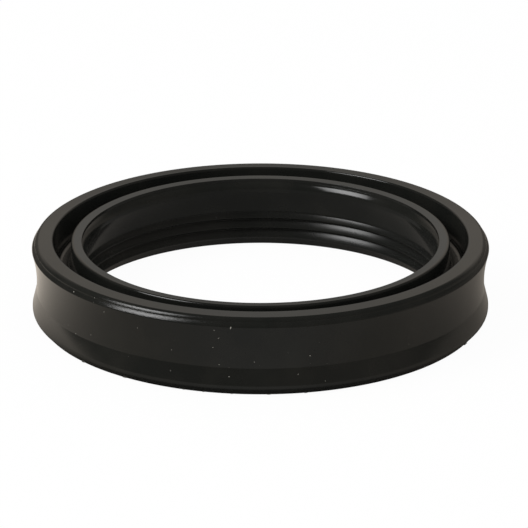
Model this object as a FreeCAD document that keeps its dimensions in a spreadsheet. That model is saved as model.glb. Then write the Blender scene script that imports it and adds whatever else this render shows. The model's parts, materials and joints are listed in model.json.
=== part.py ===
import FreeCAD, Part
import math
import os
import Sketcher

# U-cup lip seal, moulded in one piece of black nitrile rubber. Millimetres, +Z up.
# The origin is the centre of the flat heel face, and the pressure groove opens upward.
# Everything on the bore side is measured from the rod land, and everything on the
# outside from the outer lip edge, so the section can be widened between the two.

DRIVING_SIZES = {
    # overall
    "seal_height": 12.4,
    "rod_land_radius": 27.4,
    "section_width": 8.6,
    # outer lip, measured in from its sealing edge and down from the top
    "outer_edge_drop": 1.45,
    "edge_land_inset": 0.05,
    "edge_land_depth": 0.15,
    "bevel_bulge": 0.02,
    "trim_inset": 0.43,
    "trim_drop": 0.73,
    "trim_depth": 0.08,
    "trim_bulge": 0.074,
    "face_inset": 1.05,
    "face_fall": 0.12,
    "outer_lip_width": 3.33,
    "mouth_round": 0.35,
    "mouth_bulge": 0.07,
    # waist and heel, outside
    "waist_hollow": 0.29,
    "crease_inset": 0.58,
    "crease_height": 4.25,
    "heel_swell": 0.1,
    "heel_land_height": 1.1,
    "heel_land_depth": 0.5,
    "foot_inset": 0.9,
    # inner lip, measured out from the rod land and down from the top
    "inner_lip_width": 2.44,
    "inner_lip_drop": 0.36,
    "inner_face_fall": 0.13,
    "inner_edge_round": 0.36,
    "inner_edge_bulge": 0.07,
    "nose_depth": 0.75,
    "nose_step": 0.46,
    "nose_drop": 2.0,
    "nose_bulge": 0.065,
    "rod_land_depth": 0.6,
    # pressure groove between the lips
    "wall_depth": 4.3,
    "outer_wall_lean": 0.47,
    "inner_wall_lean": 0.16,
    "floor_sag": 0.83,
    # bore below the inner lip
    "bore_hollow": 0.15,
    "bore_relief": 1.47,
    "ledge_width": 0.42,
    "ledge_drop": 0.15,
    "rib_count": 3,
    "rib_pitch": 1.72,
    "rib_rise": 0.7,
    "rib_flank": 1.2,
    "rib_bulge": 0.06,
    "rib_root": 0.3,
    "bore_chamfer": 0.73,
    "bore_chamfer_depth": 1.15,
}


def make_sheet(doc, values):
    """Writes the driving sizes into a spreadsheet, one alias to a row."""
    sheet = doc.addObject("Spreadsheet::Sheet", "sizes")
    for row, (alias, value) in enumerate(values.items(), start=1):
        sheet.set(f"A{row}", alias)
        sheet.set(f"B{row}", str(value))
        sheet.setAlias(f"B{row}", alias)
    doc.recompute()
    return sheet


# Places that several outlines share, as expressions on the sheet
HEIGHT = "sizes.seal_height"
LAND = "sizes.rod_land_radius"
OUTER_EDGE = f"({LAND} + sizes.section_width)"
OUTER_MOUTH = f"({OUTER_EDGE} - sizes.outer_lip_width)"
OUTER_CREST = f"({OUTER_MOUTH} + sizes.mouth_round)"
INNER_MOUTH = f"({LAND} + sizes.inner_lip_width)"
INNER_CREST = f"({INNER_MOUTH} - sizes.inner_edge_round)"
INNER_TOP = f"({HEIGHT} - sizes.inner_lip_drop)"
LAND_TOP = f"({HEIGHT} - sizes.nose_drop)"
RIB_ROOT = f"({LAND} + sizes.bore_relief)"
RIBS_TOP = "(sizes.bore_chamfer_depth + sizes.rib_count * sizes.rib_pitch)"
FLOOR_OUTER = f"({OUTER_MOUTH} - sizes.outer_wall_lean)"
FLOOR_INNER = f"({INNER_MOUTH} + sizes.inner_wall_lean)"
FLOOR_TOP = f"({HEIGHT} - sizes.wall_depth)"


def origin_feature(body, role):
    return next(item for item in body.Origin.OriginFeatures if item.Role == role)


def bowed(name, start, end, bow, steps):
    """Corners of a shallow curve in short chords, after its start and before its end.

    Its middle stands off the straight line by bow, a radius and a height.
    """
    corners = {}
    for step in range(1, steps):
        share = step / steps
        rise = 4 * share * (1 - share)
        corners[f"{name}_{step}"] = tuple(
            f"({first}) * {1 - share:.4f} + ({last}) * {share:.4f} + ({off}) * {rise:.4f}"
            for first, last, off in zip(start, end, bow))
    return corners


def half_round(name, start, end, sag, steps):
    """Corners of a round bottom between two corners of one height, in short chords."""
    corners = {}
    for step in range(1, steps):
        turn = math.pi * step / steps
        across = (1 - math.cos(turn)) / 2
        corners[f"{name}_{step}"] = (f"({start[0]}) * {1 - across:.4f} + ({end[0]}) * {across:.4f}",
                                     f"{start[1]} - {sag} * {math.sin(turn):.4f}")
    return corners


def draw_outline(sketch, corners):
    """Draws a closed outline on the radius and height plane and ties its corners to the sheet.

    corners maps each corner's name to its radius and height.
    """
    places = [FreeCAD.Vector(*(float(sketch.evalExpression(text)) for text in place), 0)
              for place in corners.values()]
    edges = [sketch.addGeometry(Part.LineSegment(here, beyond))
             for here, beyond in zip(places, places[1:] + places[:1])]
    for index, (name, place) in enumerate(corners.items()):
        edge = edges[index]
        sketch.addConstraint(Sketcher.Constraint("Coincident", edges[index - 1], 2, edge, 1))
        for kind, side, text, value in zip(("DistanceX", "DistanceY"), ("radius", "height"),
                                           place, places[index]):
            if text == "0":
                sketch.addConstraint(Sketcher.Constraint("PointOnObject", edge, 1, -1))
                continue
            tie = sketch.addConstraint(Sketcher.Constraint(kind, -1, 1, edge, 1, value))
            sketch.renameConstraint(tie, f"{name}_{side}")
            sketch.setExpression(f"Constraints.{name}_{side}", text)


def new_sketch(body, name, corners):
    sketch = body.newObject("Sketcher::SketchObject", name)
    sketch.AttachmentSupport = [(origin_feature(body, "XZ_Plane"), "")]
    sketch.MapMode = "FlatFace"
    draw_outline(sketch, corners)
    body.Document.recompute()
    return sketch


def turn_about_axis(body, kind, name, sketch):
    """Turns an outline once round the seal's axis, to add or to cut."""
    feature = body.newObject(kind, name)
    feature.Profile = (sketch, [""])
    feature.ReferenceAxis = (sketch, ["V_Axis"])
    feature.Angle = 360
    body.Document.recompute()
    return feature


def outer_lip():
    """From the heel crease up the waist to the sealing edge, over the trimmed bevel to the crest.

    The trimming left a steep land over the sealing edge, a bevel, a small step and a full shoulder.
    """
    crease = (f"{OUTER_EDGE} - sizes.crease_inset", "sizes.crease_height")
    sealing_edge = (OUTER_EDGE, f"{HEIGHT} - sizes.outer_edge_drop")
    edge_land = (f"{OUTER_EDGE} - sizes.edge_land_inset", f"{sealing_edge[1]} + sizes.edge_land_depth")
    trim_high = (f"{OUTER_EDGE} - sizes.trim_inset", f"{HEIGHT} - sizes.trim_drop")
    trim_low = (trim_high[0], f"{trim_high[1]} - sizes.trim_depth")
    face_outer = (f"{OUTER_EDGE} - sizes.face_inset", f"{HEIGHT} - sizes.face_fall")
    return {
        "crease": crease,
        **bowed("waist", crease, sealing_edge, ("-sizes.waist_hollow", "0"), 4),
        "sealing_edge": sealing_edge,
        "edge_land": edge_land,
        **bowed("bevel", edge_land, trim_low, ("sizes.bevel_bulge", "sizes.bevel_bulge"), 2),
        "trim_low": trim_low,
        "trim_high": trim_high,
        **bowed("trim", trim_high, face_outer, ("sizes.trim_bulge", "sizes.trim_bulge"), 2),
        "face_outer": face_outer,
        "outer_crest": (OUTER_CREST, HEIGHT),
    }


def inner_lip():
    """Over the inner lip's face, down its nose to the rod land and down the wall to its ledge.

    The ledge stands out over the topmost rib.
    """
    nose_top = (f"{LAND} + sizes.nose_depth", f"{INNER_TOP} - sizes.inner_face_fall")
    nose_low = (nose_top[0], f"{nose_top[1]} - sizes.nose_step")
    land_high = (LAND, LAND_TOP)
    land_low = (LAND, f"{LAND_TOP} - sizes.rod_land_depth")
    ledge = (f"{RIB_ROOT} - sizes.ledge_width", f"{RIBS_TOP} - sizes.ledge_drop")
    return {
        "inner_crest": (INNER_CREST, INNER_TOP),
        "nose_top": nose_top,
        "nose_low": nose_low,
        **bowed("nose", nose_low, land_high, ("-sizes.nose_bulge", "sizes.nose_bulge"), 3),
        "land_high": land_high,
        "land_low": land_low,
        **bowed("hollow", land_low, ledge, ("sizes.bore_hollow", "0"), 3),
        "ledge": ledge,
        "ledge_back": (RIB_ROOT, ledge[1]),
    }


def make_blank(body):
    """The whole section without its groove and ribs: heel, waist and both lips."""
    heel_land = f"{OUTER_EDGE} + sizes.heel_swell"
    corners = {
        "foot_outer": (f"{OUTER_EDGE} - sizes.foot_inset", "0"),
        "heel_land_low": (heel_land, "sizes.heel_land_height"),
        "heel_land_high": (heel_land, "sizes.heel_land_height + sizes.heel_land_depth"),
        **outer_lip(),
        **inner_lip(),
        "ribs_foot": (RIB_ROOT, "sizes.bore_chamfer_depth"),
        "foot_inner": (f"{RIB_ROOT} + sizes.bore_chamfer", "0"),
    }
    sketch = new_sketch(body, "section", corners)
    return turn_about_axis(body, "PartDesign::Revolution", "blank", sketch)


def make_groove(body):
    """The pressure groove: a rounded edge at each lip, walls that lean together, a round floor."""
    above = f"{HEIGHT} + sizes.inner_lip_drop"
    floor_inner = (FLOOR_INNER, FLOOR_TOP)
    floor_outer = (FLOOR_OUTER, FLOOR_TOP)
    mouth_low = (OUTER_MOUTH, f"{HEIGHT} - sizes.mouth_round")
    outer_crest = (OUTER_CREST, HEIGHT)
    inner_crest = (INNER_CREST, INNER_TOP)
    mouth_inner = (INNER_MOUTH, f"{INNER_TOP} - sizes.inner_edge_round")
    corners = {
        "above_outer": (OUTER_CREST, above),
        "above_inner": (INNER_CREST, above),
        "inner_crest": inner_crest,
        **bowed("inner_edge", inner_crest, mouth_inner,
                ("sizes.inner_edge_bulge", "sizes.inner_edge_bulge"), 2),
        "mouth_inner": mouth_inner,
        "floor_inner": floor_inner,
        **half_round("floor", floor_inner, floor_outer, "sizes.floor_sag", 5),
        "floor_outer": floor_outer,
        "mouth_low": mouth_low,
        **bowed("mouth", mouth_low, outer_crest, ("-sizes.mouth_bulge", "sizes.mouth_bulge"), 2),
        "outer_crest": outer_crest,
    }
    sketch = new_sketch(body, "groove_section", corners)
    return turn_about_axis(body, "PartDesign::Groove", "pressure_groove", sketch)


def make_ribs(body):
    """The ribs round the bore: a rounded flank that looks up to a crest, over a steep underside."""
    root_high = (RIB_ROOT, RIBS_TOP)
    crest = (f"{RIB_ROOT} - sizes.rib_rise", f"{RIBS_TOP} - sizes.rib_flank")
    rib_foot = f"{RIBS_TOP} - sizes.rib_pitch"
    corners = {
        "root_back": (f"{RIB_ROOT} + sizes.rib_root", RIBS_TOP),
        "root_high": root_high,
        **bowed("flank", root_high, crest, ("-sizes.rib_bulge", "sizes.rib_bulge"), 2),
        "crest": crest,
        "root_low": (RIB_ROOT, rib_foot),
        "foot_back": (f"{RIB_ROOT} + sizes.rib_root", rib_foot),
    }
    sketch = new_sketch(body, "rib_section", corners)
    rib = turn_about_axis(body, "PartDesign::Revolution", "bore_rib", sketch)
    ribs = body.newObject("PartDesign::LinearPattern", "bore_ribs")
    ribs.Originals = [rib]
    ribs.Direction = (sketch, ["V_Axis"])
    ribs.Reversed = True
    ribs.setExpression("Length", "sizes.rib_pitch * (sizes.rib_count - 1)")
    ribs.setExpression("Occurrences", "sizes.rib_count")
    body.Tip = ribs
    body.Document.recompute()
    return ribs


def make_seal(doc):
    body = doc.addObject("PartDesign::Body", "u_cup_seal")
    body.Label = "u_cup_seal"
    blank = make_blank(body)
    groove = make_groove(body)
    ribs = make_ribs(body)
    if not groove.Shape.Volume < blank.Shape.Volume:
        raise RuntimeError("the pressure groove cut nothing")
    if not ribs.Shape.Volume > groove.Shape.Volume:
        raise RuntimeError("the ribs added nothing")
    return body


def check_document(doc, bodies):
    doc.recompute()
    for item in doc.Objects:
        if {"Invalid", "Error"} & set(item.State):
            raise RuntimeError(f"{item.Name} failed: {item.State}")
    for body in bodies:
        if body.Shape.isNull() or not body.Shape.isValid() or len(body.Shape.Solids) != 1:
            raise RuntimeError(f"{body.Label} isn't one valid solid")


def write_parts(bodies):
    os.makedirs("parts", exist_ok=True)
    for body in bodies:
        body.Shape.exportStep(f"parts/{body.Label}.step")
        box = body.Shape.optimalBoundingBox(True, False)
        print(body.Label, f"{box.XLength:.2f} x {box.YLength:.2f} x {box.ZLength:.2f} mm,",
              f"{body.Shape.Volume:.0f} mm3, {len(body.Shape.Faces)} faces")


doc = FreeCAD.newDocument("lip_seal")
make_sheet(doc, DRIVING_SIZES)
bodies = [make_seal(doc)]
check_document(doc, bodies)
write_parts(bodies)
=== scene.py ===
"""Black rubber U-cup lip seal, lying on its heel on a pale studio floor."""

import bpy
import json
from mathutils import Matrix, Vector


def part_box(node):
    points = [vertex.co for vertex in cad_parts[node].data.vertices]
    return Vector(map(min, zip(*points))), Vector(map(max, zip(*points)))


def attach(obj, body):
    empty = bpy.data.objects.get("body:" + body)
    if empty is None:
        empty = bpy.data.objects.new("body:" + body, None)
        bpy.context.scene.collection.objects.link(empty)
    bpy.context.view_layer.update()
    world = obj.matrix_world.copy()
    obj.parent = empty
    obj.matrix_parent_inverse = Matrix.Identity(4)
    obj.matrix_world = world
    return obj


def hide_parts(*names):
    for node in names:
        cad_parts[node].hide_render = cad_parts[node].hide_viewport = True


bl_info = {
    "name": "U-cup lip seal",
    "version": (1, 0, 0),
    "blender": (4, 5, 0),
    "location": "View3D > Sidebar > Lip seal",
    "description": "Adds a moulded rubber lip seal, the trimmings of its mould, and a small studio",
    "category": "Add Mesh",
}

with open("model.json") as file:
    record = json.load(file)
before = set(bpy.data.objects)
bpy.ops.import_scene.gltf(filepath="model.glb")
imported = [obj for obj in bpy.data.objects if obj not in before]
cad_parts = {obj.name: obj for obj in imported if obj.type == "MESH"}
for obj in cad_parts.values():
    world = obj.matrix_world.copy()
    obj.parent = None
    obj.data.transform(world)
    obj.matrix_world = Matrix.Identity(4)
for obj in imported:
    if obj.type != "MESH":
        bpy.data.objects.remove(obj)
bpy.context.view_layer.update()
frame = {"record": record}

import json
import math
import random

import bmesh
import bpy
from bpy.props import FloatProperty, FloatVectorProperty, IntProperty, PointerProperty
from mathutils import Matrix, Vector, noise

MM = 0.001
NODE = "u_cup_seal"
SOLID_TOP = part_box(NODE)[1].z
MOUNTS = {mount["name"]: mount for mount in frame["record"]["mounts"]}
ROD_LAND = MOUNTS["rod_land"]
HEEL_LAND = MOUNTS["heel_land"]

# Grains of dust that show plainly, listed one by one: degrees round from the front, then height and size in
# millimetres
GRAINS = ((-52, 11.3, 0.16), (-44.5, 11.6, 0.13), (-41, 10.0, 0.12), (-52.5, 4.3, 0.13), (-46.5, 5.2, 0.1),
          (-31, 8.8, 0.1), (-22, 6.2, 0.1), (-22, 3.0, 0.09), (-11, 10.3, 0.1), (-10, 9.0, 0.11),
          (-11.5, 7.4, 0.1), (-10, 4.7, 0.11), (-7.5, 3.0, 0.14), (-1.5, 5.3, 0.1), (9, 3.3, 0.11),
          (12, 6.0, 0.14), (15.5, 2.0, 0.1))

# One piece of lint, given as a grain is, and how much taller than a grain it stands
LINT = (-7, 10.9, 0.13)
LINT_TALL = 3.2

# Fine dust all round: range of height and of size in millimetres
FINE_HEIGHT = (1.5, 11.2)
FINE_SIZE = (0.03, 0.06)

# A grain's length, depth and height as shares of its size, and its tilt either way in radians
GRAIN_FORM = (1.2, 0.6, 1.2)
GRAIN_TILT = 0.5

# Nibs of flash in front, in degrees round from the front, and the stretch with more of them behind
NIBS = (-50, -35.5, -19, -14, -7, 2, 11)
MORE_NIBS = 14
MORE_STRETCH = (40, 300)

# A nib's length along the edge, depth, height, place past the foot's edge and over the floor, in millimetres,
# and its tilt either way in radians
NIB_LENGTH = (0.4, 0.9)
NIB_DEPTH = 0.3
NIB_HEIGHT = (0.1, 0.16)
NIB_OUT = 0.12
NIB_UP = 0.09
NIB_TILT = 0.06


def linear(text):
    """An sRGB hex colour such as #1b1a19 as linear red, green and blue."""
    levels = [int(text[place:place + 2], 16) / 255 for place in (1, 3, 5)]
    return tuple(level / 12.92 if level <= 0.04045 else ((level + 0.055) / 1.055) ** 2.4 for level in levels)


def length(name, millimetres, text):
    """A size that the user can change, shown in the scene's own length unit."""
    return FloatProperty(name=name, description=text, default=millimetres * MM, min=0.0, precision=5,
                         unit="LENGTH")


def colour(name, hexadecimal, text):
    """A colour that the user can change."""
    return FloatVectorProperty(name=name, description=text, default=linear(hexadecimal), min=0.0, max=1.0,
                               subtype="COLOR")


def share(name, value, text, top=1.0):
    """A share or a level that the user can change."""
    return FloatProperty(name=name, description=text, default=value, min=0.0, max=top, subtype="FACTOR")


def angle(name, degrees, text):
    """An angle that the user can change."""
    return FloatProperty(name=name, description=text, default=math.radians(degrees), subtype="ANGLE")


class SealSizes(bpy.types.PropertyGroup):
    """The turned section. Radii start from the rod land and from the heel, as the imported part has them."""
    height: length("Height", SOLID_TOP / MM, "Height over the outer lip")
    land_radius: length("Rod land radius", ROD_LAND["dims"]["r_mm"], "Radius of the inner lip's sealing land")
    land_depth: length("Rod land depth", ROD_LAND["dims"]["length_mm"], "Height of the sealing land")
    heel_radius: length("Heel radius", HEEL_LAND["dims"]["r_mm"], "Radius of the widest place of the heel")
    heel_low: length("Heel land, low", 1.1, "Height at which the heel reaches its full radius")
    heel_high: length("Heel land, high", 1.6, "Height at which the heel starts to draw in")
    heel_swell: length("Heel swell", 0.1, "How far the heel stands out past the outer lip")
    foot_inset: length("Foot inset", 0.9, "How far the foot's edge is drawn in from the outer lip")
    crease_inset: length("Crease inset", 0.58, "How far the crease above the heel is drawn in")
    crease_height: length("Crease height", 4.25, "Height of the crease above the heel")
    waist_hollow: length("Waist hollow", 0.29, "How far the waist stands in from a straight wall")
    edge_drop: length("Sealing edge drop", 1.45, "Height from the outer lip's sealing edge to the top")
    edge_inset: length("Edge land inset", 0.05, "How far the steep land over the sealing edge draws in")
    edge_depth: length("Edge land depth", 0.15, "Height of the steep land over the sealing edge")
    trim_inset: length("Trim inset", 0.43, "How far the trimmed bevel reaches in from the sealing edge")
    trim_drop: length("Trim drop", 0.73, "Height from the top of the trimmed step to the top")
    trim_depth: length("Trim depth", 0.08, "Height of the small upright step over the bevel")
    bevel_bulge: length("Bevel bulge", 0.02, "Fullness of the trimmed bevel")
    trim_bulge: length("Trim bulge", 0.074, "Fullness of the shoulder above the step")
    face_inset: length("Face inset", 1.05, "How far the outer lip's face starts inside the sealing edge")
    face_fall: length("Face fall", 0.12, "How far the outer lip's face falls towards the outside")
    outer_lip: length("Outer lip width", 3.33, "Width of the outer lip at its mouth")
    inner_lip: length("Inner lip width", 2.44, "Width of the inner lip at its mouth")
    inner_drop: length("Inner lip drop", 0.36, "How far the inner lip stands below the outer lip")
    inner_fall: length("Inner face fall", 0.13, "How far the inner lip's face falls towards the bore")
    nose_depth: length("Nose depth", 0.75, "How far the inner lip's nose reaches into the bore")
    nose_step: length("Nose step", 0.46, "Height of the upright step over the nose")
    nose_drop: length("Nose drop", 2.0, "Height from the sealing land to the top")
    nose_bulge: length("Nose bulge", 0.065, "Fullness of the inner lip's nose")
    wall_depth: length("Groove wall depth", 4.3, "Height from the foot of the groove's walls to the top")
    outer_lean: length("Outer wall lean", 0.47, "How far the groove's outer wall leans in")
    inner_lean: length("Inner wall lean", 0.16, "How far the groove's inner wall leans out")
    floor_sag: length("Groove floor sag", 0.83, "Depth of the groove's round floor below its walls")
    bore_hollow: length("Bore hollow", 0.15, "Hollow of the wall between the land and the ribs")
    bore_relief: length("Bore relief", 1.47, "How far the root behind the ribs stands back from the land")
    ledge_width: length("Ledge width", 0.42, "How far the wall over the ribs stands out past their root")
    ledge_drop: length("Ledge drop", 0.15, "How far that wall reaches down over the topmost rib")
    rib_pitch: length("Rib pitch", 1.72, "Height from one bore rib to the next")
    rib_rise: length("Rib rise", 0.7, "How far a rib stands out into the bore")
    rib_flank: length("Rib flank", 1.3, "Height of a rib's rounded upper flank")
    rib_bulge: length("Rib bulge", 0.045, "Fullness of a rib's rounded flank")
    bore_chamfer: length("Bore chamfer", 0.73, "Width of the chamfer at the foot of the bore")
    chamfer_depth: length("Bore chamfer height", 1.15, "Height of the chamfer at the foot of the bore")
    ribs: IntProperty(name="Ribs", description="Number of ribs round the bore", default=3, min=0, max=6)

    mouth_round: length("Outer mouth rounding", 0.35, "Rounding of the outer lip at the groove")
    inner_round: length("Inner mouth rounding", 0.45, "Rounding of the inner lip at the groove")
    heel_round: length("Heel rounding", 0.5, "Rounding under the heel's widest place")
    heel_shoulder: length("Heel shoulder", 1.2, "Rounding over the heel's widest place")
    crease_round: length("Crease rounding", 1.0, "Rounding in the crease above the heel")
    sharp_round: length("Sharp rounding", 0.04, "Rounding of the sealing edge and of the trimmed step")
    step_round: length("Step rounding", 0.05, "Rounding of the edge land, the nose's step and the ledge")
    lip_round: length("Lip rounding", 0.06, "Rounding of the foot, the shoulder and the inner lip's edge")
    face_round: length("Face rounding", 0.1, "Rounding at the outer lip's face and over the sealing land")
    land_round: length("Land rounding", 0.25, "Rounding under the sealing land")
    floor_round: length("Floor rounding", 0.03, "Rounding where the groove's walls meet its floor")
    root_round: length("Rib root rounding", 0.3, "Rounding between one rib and the next")
    crest_round: length("Rib crest rounding", 0.2, "Rounding of a rib's crest")
    chamfer_round: length("Chamfer rounding", 0.08, "Rounding at both ends of the bore's chamfer")

    segments: IntProperty(name="Segments", description="Steps round the ring", default=320, min=64, max=1024)
    flutter: length("Flutter", 0.012, "How far the soft wall strays from a true turned surface")
    flutter_span: length("Flutter span", 7.0, "Typical distance between two swellings of the wall")
    calm_height: length("Calm height", 2.0, "Height over which the stray grows from nothing at the heel")
    fine_grains: IntProperty(name="Fine grains", description="Number of grains of fine dust", default=70,
                             min=0, max=1000)


class SealFinish(bpy.types.PropertyGroup):
    """Colours and surface of the rubber and of what sticks to it."""
    rubber: colour("Rubber", "#1d1e1c", "Nitrile rubber filled with carbon black")
    rubber_bloom: colour("Bloom", "#252522", "Faint haze of wax that has come to the rubber's surface")
    torn: colour("Torn rubber", "#8a8780", "Whitened edge of the thin rubber left by the mould's parting")
    lint: colour("Lint", "#b5b1a8", "Dust and lint caught on the rubber")
    bloom_patch: length("Bloom patch", 9.0, "Typical size of a patch of bloom")
    roughness: share("Roughness", 0.12, "Roughness that the polished mould leaves on the rubber")
    rib_roughness: share("Rib roughness", 0.24, "Roughness that the duller core leaves on the bore's ribs")
    torn_roughness: share("Torn roughness", 0.6, "Roughness of torn rubber")
    lint_roughness: share("Lint roughness", 0.9, "Roughness of dust and lint")
    ripple: length("Ripple", 2.4, "Distance between the soft ripples of the rubber")
    ripple_depth: length("Ripple depth", 0.006, "Depth of those ripples")
    nick: length("Nick", 0.5, "Length of a nick along the trimmed edge")
    nick_height: length("Nick height", 0.12, "Height of such a nick")
    nick_depth: length("Nick depth", 0.022, "Depth of the nicks that the trimming left")
    grain: length("Grain", 0.12, "Size of the fine grain that the mould leaves")
    grain_depth: length("Grain depth", 0.0012, "Depth of that grain")
    turning: length("Turning marks", 0.22, "Distance between the turning marks that the mould prints")
    turning_depth: length("Turning depth", 0.0010, "Depth of those marks")


class StudioSettings(bpy.types.PropertyGroup):
    """The pale floor, the softbox, the surroundings that gloss shows, and the camera."""
    floor_radius: length("Floor radius", 1500.0, "Radius of the round floor")
    floor_tone: colour("Floor", "#b3b3b1", "Matt pale floor, as it lights the ring")
    floor_white: share("Floor white", 0.965, "Share of plain white that the camera sees on the floor")
    # The next five are levels of a painted glow that gloss sees on the floor instead of its lamp shading:
    # painted shade inside the ring, a painted shadow at the foot, even round the ring, dimmer far away, and a
    # painted pool of light towards the softbox
    floor_painted_inner_shade: share("Floor inside", 0.15, "Brightness of the floor inside the ring as gloss shows it")
    floor_painted_foot_shadow: share("Floor under", 0.03, "Brightness of the floor at the foot as gloss shows it")
    floor_open: share("Open floor", 0.27, "Brightness of the floor round the ring as gloss shows it")
    floor_far: share("Far floor", 0.08, "Brightness of the floor far from the ring as gloss shows it")
    floor_painted_softbox_pool: share("Lit floor", 0.9, "Brightness of the floor towards the softbox as gloss shows it")
    ambient: share("Ambient light", 0.34, "Even light from all round", top=4.0)
    zenith: share("Light from above", 0.85, "Even light from straight above", top=4.0)
    horizon: share("Horizon", 0.16, "Brightness behind the ring, near the floor, as gloss shows it", top=4.0)
    sweep: share("Sweep", 0.44, "Brightness of the sweep behind the ring as gloss shows it", top=4.0)
    room: share("Room", 0.07, "Brightness of the room round the ring as gloss shows it", top=4.0)
    room_right: share("Room, right", 0.18, "Brightness of the room on the right as gloss shows it", top=4.0)
    overhead: share("Overhead", 0.03, "Brightness of the dim ceiling as gloss shows it", top=4.0)
    middle_tone: colour("Middle tone", "#fffcf6", "Tone that gloss shows in front of the ring and behind it")
    side_tone: colour("Side tone", "#fff3e4", "Warmer tone that gloss shows on both sides")
    key_radiance: FloatProperty(name="Softbox", description="Brightness of its face, where 1 is white",
                                default=7.0, min=0.0)
    key_edge: share("Softbox edge", 0.4, "Brightness at the softbox's ends, as a share of its middle")
    key_distance: length("Softbox distance", 1400.0, "Distance from the ring to the softbox")
    key_width: length("Softbox width", 720.0, "Width of the softbox")
    key_height: length("Softbox height", 670.0, "Height of the softbox")
    key_side: angle("Softbox side", -69.0, "How far the softbox stands round from the front")
    key_up: angle("Softbox height angle", 42.5, "How high the softbox stands")
    key_roll: angle("Softbox roll", 20.0, "How far the softbox is turned in its own plane")
    camera_distance: length("Camera distance", 504.0, "Distance from the camera to the middle of the foot")
    camera_up: angle("Camera height angle", 21.541, "How high the camera stands")
    camera_dip: angle("Camera dip", 20.750, "How far down the camera points")
    camera_pan: angle("Camera pan", 0.068, "How far right the camera points")
    camera_lens: FloatProperty(name="Lens", description="Focal length on the sensor", default=216.06, min=1.0,
                               subtype="DISTANCE_CAMERA")
    sensor: FloatProperty(name="Sensor", description="Width of the sensor", default=36.0, min=1.0,
                          subtype="DISTANCE_CAMERA")


# The section, as corners of radius, height and rounding in metres

def bowed(start, end, bow, steps):
    """Corners of a shallow curve between two corners. Its middle stands off the straight line by bow."""
    corners = []
    for step in range(1, steps):
        part = step / steps
        rise = 4 * part * (1 - part)
        corners.append((start[0] + (end[0] - start[0]) * part + bow[0] * rise,
                        start[1] + (end[1] - start[1]) * part + bow[1] * rise, 0.0))
    return corners


def rounded(corners, steps=6):
    """The closed outline with each corner's rounding drawn as a curve, and a point kept close to its ends."""
    points = []
    for index, (radius, height, rounding) in enumerate(corners):
        here = Vector((radius, height))
        before = Vector(corners[index - 1][:2]) - here
        after = Vector(corners[(index + 1) % len(corners)][:2]) - here
        if rounding == 0.0:
            points.append(here)
            continue
        turn = math.pi - before.angle(after)
        reach = min(rounding * math.tan(turn / 2), 0.45 * before.length, 0.45 * after.length)
        start, end = here + before.normalized() * reach, here + after.normalized() * reach
        guard = reach * 0.35
        if before.length > 3 * reach + guard:
            points.append(start + before.normalized() * guard)
        for step in range(steps + 1):
            part = step / steps
            points.append(start * (1 - part) ** 2 + here * 2 * part * (1 - part) + end * part ** 2)
        if after.length > 3 * reach + guard:
            points.append(end + after.normalized() * guard)
    return points


def edge_radius(size):
    """The radius of the outer lip's sealing edge."""
    return size.heel_radius - size.heel_swell


def root_radius(size):
    """The radius of the bore behind the ribs."""
    return size.land_radius + size.bore_relief


def ribs_top(size):
    """The height of the topmost rib's root."""
    return size.chamfer_depth + size.ribs * size.rib_pitch


def outside_corners(size):
    """From the foot's outer edge up over the heel, the crease, the waist and the sealing edge to the top."""
    edge = edge_radius(size)
    crease = (edge - size.crease_inset, size.crease_height)
    sealing = (edge, size.height - size.edge_drop)
    land = (edge - size.edge_inset, sealing[1] + size.edge_depth)
    shoulder = (edge - size.trim_inset, size.height - size.trim_drop)
    trimmed = (shoulder[0], shoulder[1] - size.trim_depth)
    face = (edge - size.face_inset, size.height - size.face_fall)
    return [
        (edge - size.foot_inset, 0.0, size.lip_round),
        (size.heel_radius, size.heel_low, size.heel_round),
        (size.heel_radius, size.heel_high, size.heel_shoulder),
        (*crease, size.crease_round),
        *bowed(crease, sealing, (-size.waist_hollow, 0.0), 14),
        (*sealing, size.sharp_round),
        (*land, size.step_round),
        *bowed(land, trimmed, (size.bevel_bulge, size.bevel_bulge), 6),
        (*trimmed, size.sharp_round),
        (*shoulder, size.lip_round),
        *bowed(shoulder, face, (size.trim_bulge, size.trim_bulge), 8),
        (*face, size.face_round),
    ]


def groove_corners(size, steps=18):
    """From the outer lip's mouth down one wall, over the round floor and up the other wall."""
    outer_mouth = edge_radius(size) - size.outer_lip
    inner_mouth = size.land_radius + size.inner_lip
    floor_top = size.height - size.wall_depth
    outer_foot = outer_mouth - size.outer_lean
    inner_foot = inner_mouth + size.inner_lean
    middle, half = (outer_foot + inner_foot) / 2, (outer_foot - inner_foot) / 2
    turns = [math.pi * step / steps for step in range(1, steps)]
    return [
        (outer_mouth, size.height, size.mouth_round),
        (outer_foot, floor_top, size.floor_round),
        *[(middle + half * math.cos(turn), floor_top - size.floor_sag * math.sin(turn), 0.0)
          for turn in turns],
        (inner_foot, floor_top, size.floor_round),
        (inner_mouth, size.height - size.inner_drop, size.inner_round),
    ]


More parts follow.
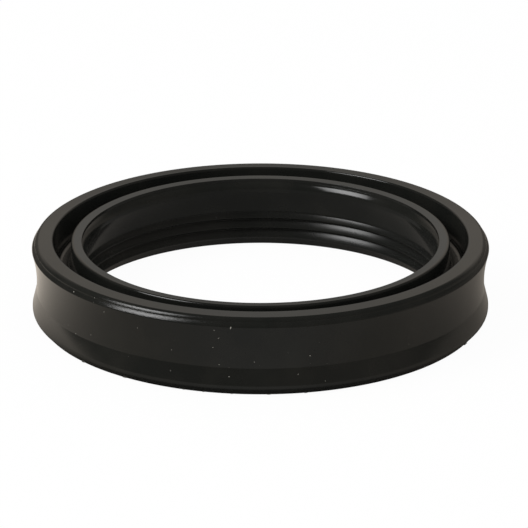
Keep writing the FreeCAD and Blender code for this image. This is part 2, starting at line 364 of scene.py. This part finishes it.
def bore_corners(size):
    """From the inner lip's nose past the sealing land and down over the ribs to the foot."""
    root = root_radius(size)
    nose = (size.land_radius + size.nose_depth, size.height - size.inner_drop - size.inner_fall)
    stepped = (nose[0], nose[1] - size.nose_step)
    land_high = (size.land_radius, size.height - size.nose_drop)
    land_low = (size.land_radius, land_high[1] - size.land_depth)
    ledge = (root - size.ledge_width, ribs_top(size) - size.ledge_drop)
    corners = [
        (*nose, size.lip_round),
        (*stepped, size.step_round),
        *bowed(stepped, land_high, (-size.nose_bulge, size.nose_bulge), 12),
        (*land_high, size.face_round),
        (*land_low, size.land_round),
        *bowed(land_low, ledge, (size.bore_hollow, 0.0), 12),
        (*ledge, size.step_round),
    ]
    for rib in range(size.ribs):
        top = (root, ribs_top(size) - rib * size.rib_pitch)
        crest = (root - size.rib_rise, top[1] - size.rib_flank)
        flank = bowed(top, crest, (-size.rib_bulge, size.rib_bulge), 10)[2:-2]
        corners += [(*top, size.root_round)] if rib else []
        corners += [corner for corner in flank if rib or corner[1] < ledge[1]]
        corners += [(*crest, size.crest_round)]
    corners += [(root, size.chamfer_depth, size.chamfer_round)]
    corners += [(root + size.bore_chamfer, 0.0, size.chamfer_round)]
    return corners


def seal_outline(size):
    """The whole section as one closed outline."""
    return rounded(outside_corners(size) + groove_corners(size) + bore_corners(size))


def outside_radius(outline, height):
    """The outer radius of the section at that height."""
    radii = []
    for index, here in enumerate(outline):
        before = outline[index - 1]
        low, high = sorted((before[1], here[1]))
        if low <= height <= high and high > low:
            part = (height - before[1]) / (here[1] - before[1])
            radii.append(before[0] + (here[0] - before[0]) * part)
    return max(radii)


def wander(size, radius, azimuth, height):
    """How far the soft wall strays from the turned surface there.

    The flat heel stays flat, and the swellings are 1.6 times as long round the ring as they are high.
    """
    place = Vector((radius * math.cos(azimuth), radius * math.sin(azimuth), height * 1.6)) / size.flutter_span
    calm = min(height / size.calm_height, 1.0)
    return size.flutter * calm * noise.noise(place)


def turn_outline(size, outline):
    """Turns the closed outline round the Z axis into a mesh of quads."""
    vertices = []
    for step in range(size.segments):
        azimuth = 2 * math.pi * step / size.segments
        for radius, height in outline:
            reach = radius + wander(size, radius, azimuth, height)
            vertices.append((reach * math.cos(azimuth), reach * math.sin(azimuth), height))
    count = len(outline)
    faces = []
    for step in range(size.segments):
        here, beyond = step * count, (step + 1) % size.segments * count
        for index in range(count):
            follower = (index + 1) % count
            faces.append((here + index, beyond + index, beyond + follower, here + follower))
    mesh = bpy.data.meshes.new("seal_ring")
    mesh.from_pydata(vertices, [], faces)
    mesh.shade_smooth()
    mesh.validate()
    return mesh


# Materials

def add_node(tree, kind, values=(), links=(), stops=(), **settings):
    """Adds a node with its settings, its inputs' values and the nodes or sockets that feed its inputs.

    Stops are a ramp's places and grey levels, in order, with straight lines between them.
    """
    node = tree.nodes.new(kind)
    for name, value in settings.items():
        setattr(node, name, value)
    for socket, value in dict(values).items():
        node.inputs[socket].default_value = value
    for socket, source in dict(links).items():
        feed = source.outputs[0] if isinstance(source, bpy.types.Node) else source
        tree.links.new(feed, node.inputs[socket])
    for index, (place, level) in enumerate(stops):
        points = node.color_ramp.elements
        point = points[index] if index < len(points) else points.new(place)
        point.position = place
        point.color = (level, level, level, 1)
    return node


def cleared_tree(owner):
    """The node tree of a material, world or lamp, switched on and emptied."""
    owner.use_nodes = True
    owner.node_tree.nodes.clear()
    return owner.node_tree


def rubber_relief(tree, size, finish, place, across, radius):
    """The rubber's fine relief: nicks of the trimming, soft ripples, turning marks and grain.

    Real turning marks and grain are finer than 0.05 mm. They are drawn coarser, so that they show.
    """
    edge = edge_radius(size)
    sealing = size.height - size.edge_drop

    # Nicks fade in over the sealing edge, and fade out towards the lip's face from 0.6 to 0.85 mm inside it
    outside = add_node(tree, "ShaderNodeMapRange",
                       {"From Min": edge - 0.85 * MM, "From Max": edge - 0.6 * MM}, {"Value": radius})
    above = add_node(tree, "ShaderNodeMapRange",
                     {"From Min": sealing - 0.05 * MM, "From Max": sealing + 0.09 * MM},
                     {"Value": across.outputs["Z"]})
    trimmed = add_node(tree, "ShaderNodeMath", links={0: outside, 1: above}, operation="MULTIPLY")
    azimuth = add_node(tree, "ShaderNodeMath", links={0: across.outputs["Y"], 1: across.outputs["X"]},
                       operation="ARCTAN2")
    along = add_node(tree, "ShaderNodeMath", {1: edge / finish.nick}, {0: azimuth}, operation="MULTIPLY")
    up = add_node(tree, "ShaderNodeMath", {1: 1 / finish.nick_height}, {0: across.outputs["Z"]},
                  operation="MULTIPLY")
    strip = add_node(tree, "ShaderNodeCombineXYZ", links={"X": along, "Y": up})
    torn = add_node(tree, "ShaderNodeTexNoise", {"Scale": 1.0, "Detail": 3.0, "Roughness": 0.7},
                    {"Vector": strip})
    nicks = add_node(tree, "ShaderNodeBump", {"Distance": finish.nick_depth},
                     {"Strength": trimmed, "Height": torn.outputs["Fac"]})
    swells = add_node(tree, "ShaderNodeTexNoise", {"Scale": 1 / finish.ripple, "Detail": 2.0},
                      {"Vector": place})
    ripples = add_node(tree, "ShaderNodeBump", {"Strength": 1.0, "Distance": finish.ripple_depth},
                       {"Height": swells.outputs["Fac"], "Normal": nicks})
    section = add_node(tree, "ShaderNodeCombineXYZ", links={"X": radius, "Z": across.outputs["Z"]})
    rings = add_node(tree, "ShaderNodeTexNoise",
                     {"Scale": 1 / finish.turning, "Detail": 3.0, "Roughness": 0.6}, {"Vector": section})
    turning = add_node(tree, "ShaderNodeBump", {"Strength": 1.0, "Distance": finish.turning_depth},
                       {"Height": rings.outputs["Fac"], "Normal": ripples})
    specks = add_node(tree, "ShaderNodeTexNoise", {"Scale": 1 / finish.grain, "Detail": 2.0},
                      {"Vector": place})
    return add_node(tree, "ShaderNodeBump", {"Strength": 1.0, "Distance": finish.grain_depth},
                    {"Height": specks.outputs["Fac"], "Normal": turning})


def moulded_nitrile_rubber(size, finish):
    """Nitrile rubber, compression-moulded in a turned and polished steel mould.

    It is a deep black with a satin gloss. The mould's fine turning marks and grain soften each
    reflection along the ring, and a thin bloom of wax lifts the black a little in soft patches.
    The core that forms the bore's ribs is less polished, so the ribs are duller.
    """
    material = bpy.data.materials.new("moulded_nitrile_rubber")
    tree = cleared_tree(material)
    place = add_node(tree, "ShaderNodeTexCoord").outputs["Object"]
    across = add_node(tree, "ShaderNodeSeparateXYZ", links={"Vector": place})
    flat = add_node(tree, "ShaderNodeVectorMath", {1: (1.0, 1.0, 0.0)}, {0: place}, operation="MULTIPLY")
    radius = add_node(tree, "ShaderNodeVectorMath", links={0: flat}, operation="LENGTH").outputs["Value"]
    patches = add_node(tree, "ShaderNodeTexNoise",
                       {"Scale": 1 / finish.bloom_patch, "Detail": 4.0, "Roughness": 0.55},
                       {"Vector": place}).outputs["Fac"]
    haze = add_node(tree, "ShaderNodeMapRange", {"From Min": 0.42, "From Max": 0.72}, {"Value": patches})
    tint = add_node(tree, "ShaderNodeMixRGB",
                    {"Color1": (*finish.rubber, 1), "Color2": (*finish.rubber_bloom, 1)}, {"Fac": haze})

    # The ribs' duller zone ends within the wall, and fades out over 1 mm at the topmost rib's root
    foot = root_radius(size) + size.bore_chamfer
    in_bore = add_node(tree, "ShaderNodeMapRange",
                       {"From Min": foot - 0.4 * MM, "From Max": foot, "To Min": 1.0, "To Max": 0.0},
                       {"Value": radius})
    low = add_node(tree, "ShaderNodeMapRange",
                   {"From Min": ribs_top(size) - 0.5 * MM, "From Max": ribs_top(size) + 0.5 * MM,
                    "To Min": 1.0, "To Max": 0.0},
                   {"Value": across.outputs["Z"]})
    on_ribs = add_node(tree, "ShaderNodeMath", links={0: in_bore, 1: low}, operation="MULTIPLY")
    polish = add_node(tree, "ShaderNodeMapRange",
                      {"To Min": finish.roughness, "To Max": finish.rib_roughness}, {"Value": on_ribs})
    sheen = add_node(tree, "ShaderNodeMapRange",
                     {"From Min": 0.3, "From Max": 0.7, "To Min": 0.9, "To Max": 1.15}, {"Value": patches})
    roughness = add_node(tree, "ShaderNodeMath", links={0: sheen, 1: polish}, operation="MULTIPLY")
    relief = rubber_relief(tree, size, finish, place, across, radius)
    shader = add_node(tree, "ShaderNodeBsdfPrincipled", {"IOR": 1.5},
                      {"Base Color": tint, "Roughness": roughness, "Normal": relief})
    add_node(tree, "ShaderNodeOutputMaterial", links={"Surface": shader})
    return material


def dull(name, tint, roughness):
    """A plain dull surface for what is too small to show more."""
    material = bpy.data.materials.new(name)
    tree = cleared_tree(material)
    shader = add_node(tree, "ShaderNodeBsdfPrincipled", {"Base Color": (*tint, 1), "Roughness": roughness})
    add_node(tree, "ShaderNodeOutputMaterial", links={"Surface": shader})
    return material


def whitened_torn_rubber(finish):
    """Rubber torn along the mould's parting line. Tearing whitens it, so that it shows as pale dashes."""
    return dull("whitened_torn_rubber", finish.torn, finish.torn_roughness)


def cotton_lint(finish):
    """Dust and cotton lint. It is matt and pale, so that the eye finds it at once on the black."""
    return dull("cotton_lint", finish.lint, finish.lint_roughness)


def tone_for_gloss(tree, studio, beside, near, far, least):
    """The tone that gloss shows. Its warmth is least within near of the middle, and full past far."""
    off = add_node(tree, "ShaderNodeMath", links={0: beside}, operation="ABSOLUTE")
    warmth = add_node(tree, "ShaderNodeMapRange", {"From Min": near, "From Max": far, "To Min": least},
                      {"Value": off})
    return add_node(tree, "ShaderNodeMixRGB",
                    {"Color1": (*studio.middle_tone, 1), "Color2": (*studio.side_tone, 1)}, {"Fac": warmth})


def paper_floor_with_painted_gloss(studio):
    """Matt paper. The camera sees it as white with a faint shadow, and its true tone lights the ring.

    Gloss sees a painted glow instead of its lamp shading: painted shadow dark at the foot and painted shade
    inside the ring, even round the ring, a painted pool of light bright towards the softbox, and dim far
    away.
    """
    material = bpy.data.materials.new("paper_floor_with_painted_gloss")
    tree = cleared_tree(material)
    place = add_node(tree, "ShaderNodeTexCoord").outputs["Object"]

    # Places in both ramps are in units of 100 mm from the middle
    spread = add_node(tree, "ShaderNodeVectorMath", {1: (1 / (100 * MM),) * 3}, {0: place},
                      operation="MULTIPLY")
    radius = add_node(tree, "ShaderNodeVectorMath", links={0: spread}, operation="LENGTH").outputs["Value"]
    # Painted shade inside the ring and a painted shadow at the foot, an even level round the ring, dimmer far
    # away
    even = add_node(tree, "ShaderNodeValToRGB", links={"Fac": radius}, stops=(
        (0.29, studio.floor_painted_inner_shade), (0.33, studio.floor_painted_foot_shadow), (0.358, studio.floor_painted_foot_shadow),
        (0.385, studio.floor_open), (0.62, studio.floor_open), (0.95, studio.floor_far)))
    # Painted pool of light on the floor towards the softbox, in a band round the ring
    painted_pool_band = add_node(tree, "ShaderNodeValToRGB", links={"Fac": radius},
                     stops=((0.34, 0.0), (0.38, 1.0), (0.56, 1.0), (0.68, 0.0)))
    towards = add_node(tree, "ShaderNodeVectorMath", {1: (-1.0, 0.6, 0.0)}, {0: place},
                       operation="DOT_PRODUCT")
    facing = add_node(tree, "ShaderNodeMapRange", {"From Min": 12 * MM, "From Max": 64 * MM},
                      {"Value": towards.outputs["Value"]}, interpolation_type="SMOOTHSTEP")
    lit = add_node(tree, "ShaderNodeMath", links={0: facing, 1: painted_pool_band}, operation="MULTIPLY")
    level = add_node(tree, "ShaderNodeMixRGB", {"Color2": (studio.floor_painted_softbox_pool,) * 3 + (1,)},
                     {"Fac": lit, "Color1": even})
    beside = add_node(tree, "ShaderNodeSeparateXYZ", links={"Vector": place}).outputs["X"]
    tone = tone_for_gloss(tree, studio, beside, 8 * MM, 30 * MM, 0.0)
    # The floor glows with this painted light and shade for gloss rays only, though it is no lamp
    glow = add_node(tree, "ShaderNodeEmission", links={"Color": tone, "Strength": level})

    ray = add_node(tree, "ShaderNodeLightPath")
    seen = add_node(tree, "ShaderNodeMath", operation="MAXIMUM",
                    links={0: ray.outputs["Is Camera Ray"], 1: ray.outputs["Is Transmission Ray"]})
    paper_tone = add_node(tree, "ShaderNodeMixRGB",
                          {"Color1": (*studio.floor_tone, 1), "Color2": (1, 1, 1, 1)}, {"Fac": seen})
    matt = add_node(tree, "ShaderNodeBsdfDiffuse", links={"Color": paper_tone})
    white = add_node(tree, "ShaderNodeEmission", {"Color": (1, 1, 1, 1), "Strength": 1.0})
    plain = add_node(tree, "ShaderNodeMath", {1: studio.floor_white}, {0: seen}, operation="MULTIPLY")
    paper = add_node(tree, "ShaderNodeMixShader", links={0: plain, 1: matt, 2: white})
    mixed = add_node(tree, "ShaderNodeMixShader",
                     links={0: ray.outputs["Is Glossy Ray"], 1: paper, 2: glow})
    add_node(tree, "ShaderNodeOutputMaterial", links={"Surface": mixed})
    return material


# What each operator adds

def add_piece(name, mesh, material):
    """Puts the mesh into the scene as a piece of that material."""
    piece = bpy.data.objects.new(name, mesh)
    piece.data.materials.append(material)
    bpy.context.scene.collection.objects.link(piece)
    return piece


def into_mesh(form, name):
    """Turns the form into a mesh and frees it."""
    mesh = bpy.data.meshes.new(name)
    form.to_mesh(mesh)
    form.free()
    return mesh


def lie(azimuth, radius, height, scale, twist):
    """Puts a small form there. Its X goes round the ring, its Y outwards and its Z up."""
    place = Vector((math.sin(azimuth) * radius, -math.cos(azimuth) * radius, height))
    turn = Matrix.Rotation(azimuth + math.pi, 4, "Z") @ Matrix.Rotation(twist, 4, "Y")
    return Matrix.Translation(place) @ turn @ Matrix.Diagonal((*scale, 1.0))


class LIPSEAL_OT_ring(bpy.types.Operator):
    """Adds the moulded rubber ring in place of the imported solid"""
    bl_idname = "lipseal.ring"
    bl_label = "Rubber ring"

    def execute(self, context):
        size, finish = context.scene.seal_sizes, context.scene.seal_finish
        ring = add_piece("seal_ring", turn_outline(size, seal_outline(size)),
                         moulded_nitrile_rubber(size, finish))
        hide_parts(NODE)
        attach(ring, "root")
        return {"FINISHED"}


class LIPSEAL_OT_flash(bpy.types.Operator):
    """Adds the nibs of flash left along the foot's edge where the mould parted"""
    bl_idname = "lipseal.flash"
    bl_label = "Flash nibs"

    def execute(self, context):
        size, finish = context.scene.seal_sizes, context.scene.seal_finish
        chance = random.Random(11)
        radius = edge_radius(size) - size.foot_inset + NIB_OUT * MM
        form = bmesh.new()
        for azimuth in (*NIBS, *[chance.uniform(*MORE_STRETCH) for nib in range(MORE_NIBS)]):
            scale = (chance.uniform(*NIB_LENGTH) * MM, NIB_DEPTH * MM, chance.uniform(*NIB_HEIGHT) * MM)
            tilt = chance.uniform(-NIB_TILT, NIB_TILT)
            place = lie(math.radians(azimuth), radius, NIB_UP * MM, scale, tilt)
            bmesh.ops.create_icosphere(form, subdivisions=2, radius=0.5, matrix=place)
        nibs = add_piece("flash_nibs", into_mesh(form, "flash_nibs"), whitened_torn_rubber(finish))
        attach(nibs, "root")
        return {"FINISHED"}


class LIPSEAL_OT_dust(bpy.types.Operator):
    """Adds the grains of dust and the lint caught on the outside"""
    bl_idname = "lipseal.dust"
    bl_label = "Dust and lint"

    def execute(self, context):
        size, finish = context.scene.seal_sizes, context.scene.seal_finish
        outline = seal_outline(size)
        chance = random.Random(5)
        form = bmesh.new()

        def drop(azimuth, height, grain, tall=1.0):
            scale = [part * stretch * grain * MM for part, stretch in zip(GRAIN_FORM, (1.0, 1.0, tall))]
            tilt = chance.uniform(-GRAIN_TILT, GRAIN_TILT)
            radius = outside_radius(outline, height * MM)
            place = lie(math.radians(azimuth), radius, height * MM, scale, tilt)
            bmesh.ops.create_icosphere(form, subdivisions=1, radius=0.5, matrix=place)

        for azimuth, height, grain in GRAINS:
            drop(azimuth, height, grain)
        drop(*LINT, tall=LINT_TALL)
        for grain in range(size.fine_grains):
            drop(chance.uniform(-180, 180), chance.uniform(*FINE_HEIGHT), chance.uniform(*FINE_SIZE))
        dust = add_piece("dust", into_mesh(form, "dust"), cotton_lint(finish))
        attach(dust, "root")
        return {"FINISHED"}


def set_world(studio):
    """White to the camera. Gloss shows a lit sweep behind the ring, a dim room and a dark ceiling.

    Ramps follow the direction of the ray: its share up, from 0 at the horizon to 1 straight up,
    its share to the right and its share to the back.
    """
    world = bpy.data.worlds.new("studio")
    tree = cleared_tree(world)
    way = add_node(tree, "ShaderNodeSeparateXYZ",
                   links={"Vector": add_node(tree, "ShaderNodeTexCoord").outputs["Generated"]})
    right, back, up = way.outputs
    sweep = add_node(tree, "ShaderNodeValToRGB", links={"Fac": up}, stops=(
        (0.0, studio.horizon), (0.21, studio.horizon), (0.33, studio.sweep), (0.6, studio.sweep),
        (0.8, studio.overhead)))
    side = add_node(tree, "ShaderNodeMapRange",
                    {"From Min": 0.1, "From Max": 0.9, "To Min": studio.room, "To Max": studio.room_right},
                    {"Value": right})
    fade = add_node(tree, "ShaderNodeValToRGB", links={"Fac": up},
                    stops=((0.12, 1.0), (0.35, 0.45), (0.75, 0.4)))
    room = add_node(tree, "ShaderNodeMath", links={0: side, 1: fade}, operation="MULTIPLY")
    behind = add_node(tree, "ShaderNodeMapRange", {"From Min": 0.55, "From Max": 0.85}, {"Value": back})
    around = add_node(tree, "ShaderNodeMixRGB", links={"Fac": behind, "Color1": room, "Color2": sweep})
    level = add_node(tree, "ShaderNodeMath", {1: studio.overhead}, {0: around}, operation="MAXIMUM")
    tone = tone_for_gloss(tree, studio, right, 0.0, 0.12, 0.2)
    gloss = add_node(tree, "ShaderNodeBackground", links={"Color": tone, "Strength": level})

    above = add_node(tree, "ShaderNodeMapRange", {"To Min": studio.ambient, "To Max": studio.zenith},
                     {"Value": up})
    even = add_node(tree, "ShaderNodeBackground", {"Color": (1, 1, 1, 1)}, {"Strength": above})
    white = add_node(tree, "ShaderNodeBackground", {"Color": (1, 1, 1, 1), "Strength": 1.0})
    ray = add_node(tree, "ShaderNodeLightPath")
    seen = add_node(tree, "ShaderNodeMath", operation="MAXIMUM",
                    links={0: ray.outputs["Is Camera Ray"], 1: ray.outputs["Is Transmission Ray"]})
    lighting = add_node(tree, "ShaderNodeMixShader",
                        links={0: ray.outputs["Is Glossy Ray"], 1: even, 2: gloss})
    mixed = add_node(tree, "ShaderNodeMixShader", links={0: seen, 1: lighting, 2: white})
    add_node(tree, "ShaderNodeOutputWorld", links={"Surface": mixed})
    bpy.context.scene.world = world


def polar(distance, side, up):
    """A place that far from the middle of the foot, side round from the front and up from the floor."""
    return Vector((math.sin(side) * math.cos(up), -math.cos(side) * math.cos(up), math.sin(up))) * distance


def add_softbox(studio):
    """Adds the softbox. Its face is bright in the middle and fades towards its two ends."""
    lamp = bpy.data.lights.new("softbox", "AREA")
    lamp.shape = "RECTANGLE"
    lamp.size, lamp.size_y = studio.key_width, studio.key_height
    lamp.energy = studio.key_radiance * math.pi * studio.key_width * studio.key_height
    tree = cleared_tree(lamp)
    across = add_node(tree, "ShaderNodeSeparateXYZ",
                      links={"Vector": add_node(tree, "ShaderNodeNewGeometry").outputs["Parametric"]})
    aside = add_node(tree, "ShaderNodeMath", {1: 0.5}, {0: across.outputs["X"]}, operation="SUBTRACT")
    off = add_node(tree, "ShaderNodeMath", links={0: aside}, operation="ABSOLUTE")
    fade = add_node(tree, "ShaderNodeMapRange",
                    {"From Min": 0.15, "From Max": 0.5, "To Min": 1.0, "To Max": studio.key_edge},
                    {"Value": off})
    glow = add_node(tree, "ShaderNodeEmission", {"Color": (1, 1, 1, 1)}, {"Strength": fade})
    add_node(tree, "ShaderNodeOutputLight", links={"Surface": glow})
    softbox = bpy.data.objects.new("softbox", lamp)
    softbox.location = polar(studio.key_distance, studio.key_side, studio.key_up)
    facing = softbox.location.to_track_quat("Z", "Y").to_matrix().to_4x4()
    softbox.rotation_euler = (facing @ Matrix.Rotation(studio.key_roll, 4, "Z")).to_euler()
    softbox.visible_camera = False
    bpy.context.scene.collection.objects.link(softbox)


def add_camera(studio):
    """Adds the camera where the photograph was taken from."""
    data = bpy.data.cameras.new("camera")
    data.sensor_width, data.lens = studio.sensor, studio.camera_lens
    data.clip_start, data.clip_end = 0.01, 20.0
    camera = bpy.data.objects.new("camera", data)
    camera.location = polar(studio.camera_distance, 0.0, studio.camera_up)
    camera.rotation_euler = (math.pi / 2 - studio.camera_dip, 0.0, -studio.camera_pan)
    bpy.context.scene.collection.objects.link(camera)
    bpy.context.scene.camera = camera


class LIPSEAL_OT_stage(bpy.types.Operator):
    """Adds the pale floor, the softbox, the surroundings and the camera"""
    bl_idname = "lipseal.stage"
    bl_label = "Studio"

    def execute(self, context):
        studio = context.scene.seal_studio
        form = bmesh.new()
        bmesh.ops.create_circle(form, cap_ends=True, segments=96, radius=studio.floor_radius)
        add_piece("floor", into_mesh(form, "floor"), paper_floor_with_painted_gloss(studio))
        set_world(studio)
        add_softbox(studio)
        add_camera(studio)
        context.scene.view_settings.view_transform = "Standard"
        return {"FINISHED"}


class LIPSEAL_PT_panel(bpy.types.Panel):
    """Lists the seal's sizes, finish and studio"""
    bl_idname = "LIPSEAL_PT_panel"
    bl_label = "Lip seal"
    bl_space_type = "VIEW_3D"
    bl_region_type = "UI"
    bl_category = "Lip seal"

    def draw(self, context):
        for operator in OPERATORS:
            self.layout.operator(operator.bl_idname)
        for group in (context.scene.seal_sizes, context.scene.seal_finish, context.scene.seal_studio):
            box = self.layout.box()
            for name in group.__annotations__:
                box.prop(group, name)


OPERATORS = (LIPSEAL_OT_ring, LIPSEAL_OT_flash, LIPSEAL_OT_dust, LIPSEAL_OT_stage)
GROUPS = {"seal_sizes": SealSizes, "seal_finish": SealFinish, "seal_studio": StudioSettings}


def register():
    for item in (*GROUPS.values(), *OPERATORS, LIPSEAL_PT_panel):
        bpy.utils.register_class(item)
    for name, group in GROUPS.items():
        setattr(bpy.types.Scene, name, PointerProperty(type=group))


def unregister():
    for name in GROUPS:
        delattr(bpy.types.Scene, name)
    for item in (LIPSEAL_PT_panel, *reversed(OPERATORS), *reversed(GROUPS.values())):
        bpy.utils.unregister_class(item)


def main():
    register()
    bpy.ops.lipseal.ring()
    bpy.ops.lipseal.flash()
    bpy.ops.lipseal.dust()
    bpy.ops.lipseal.stage()


if __name__ == "__main__":
    main()
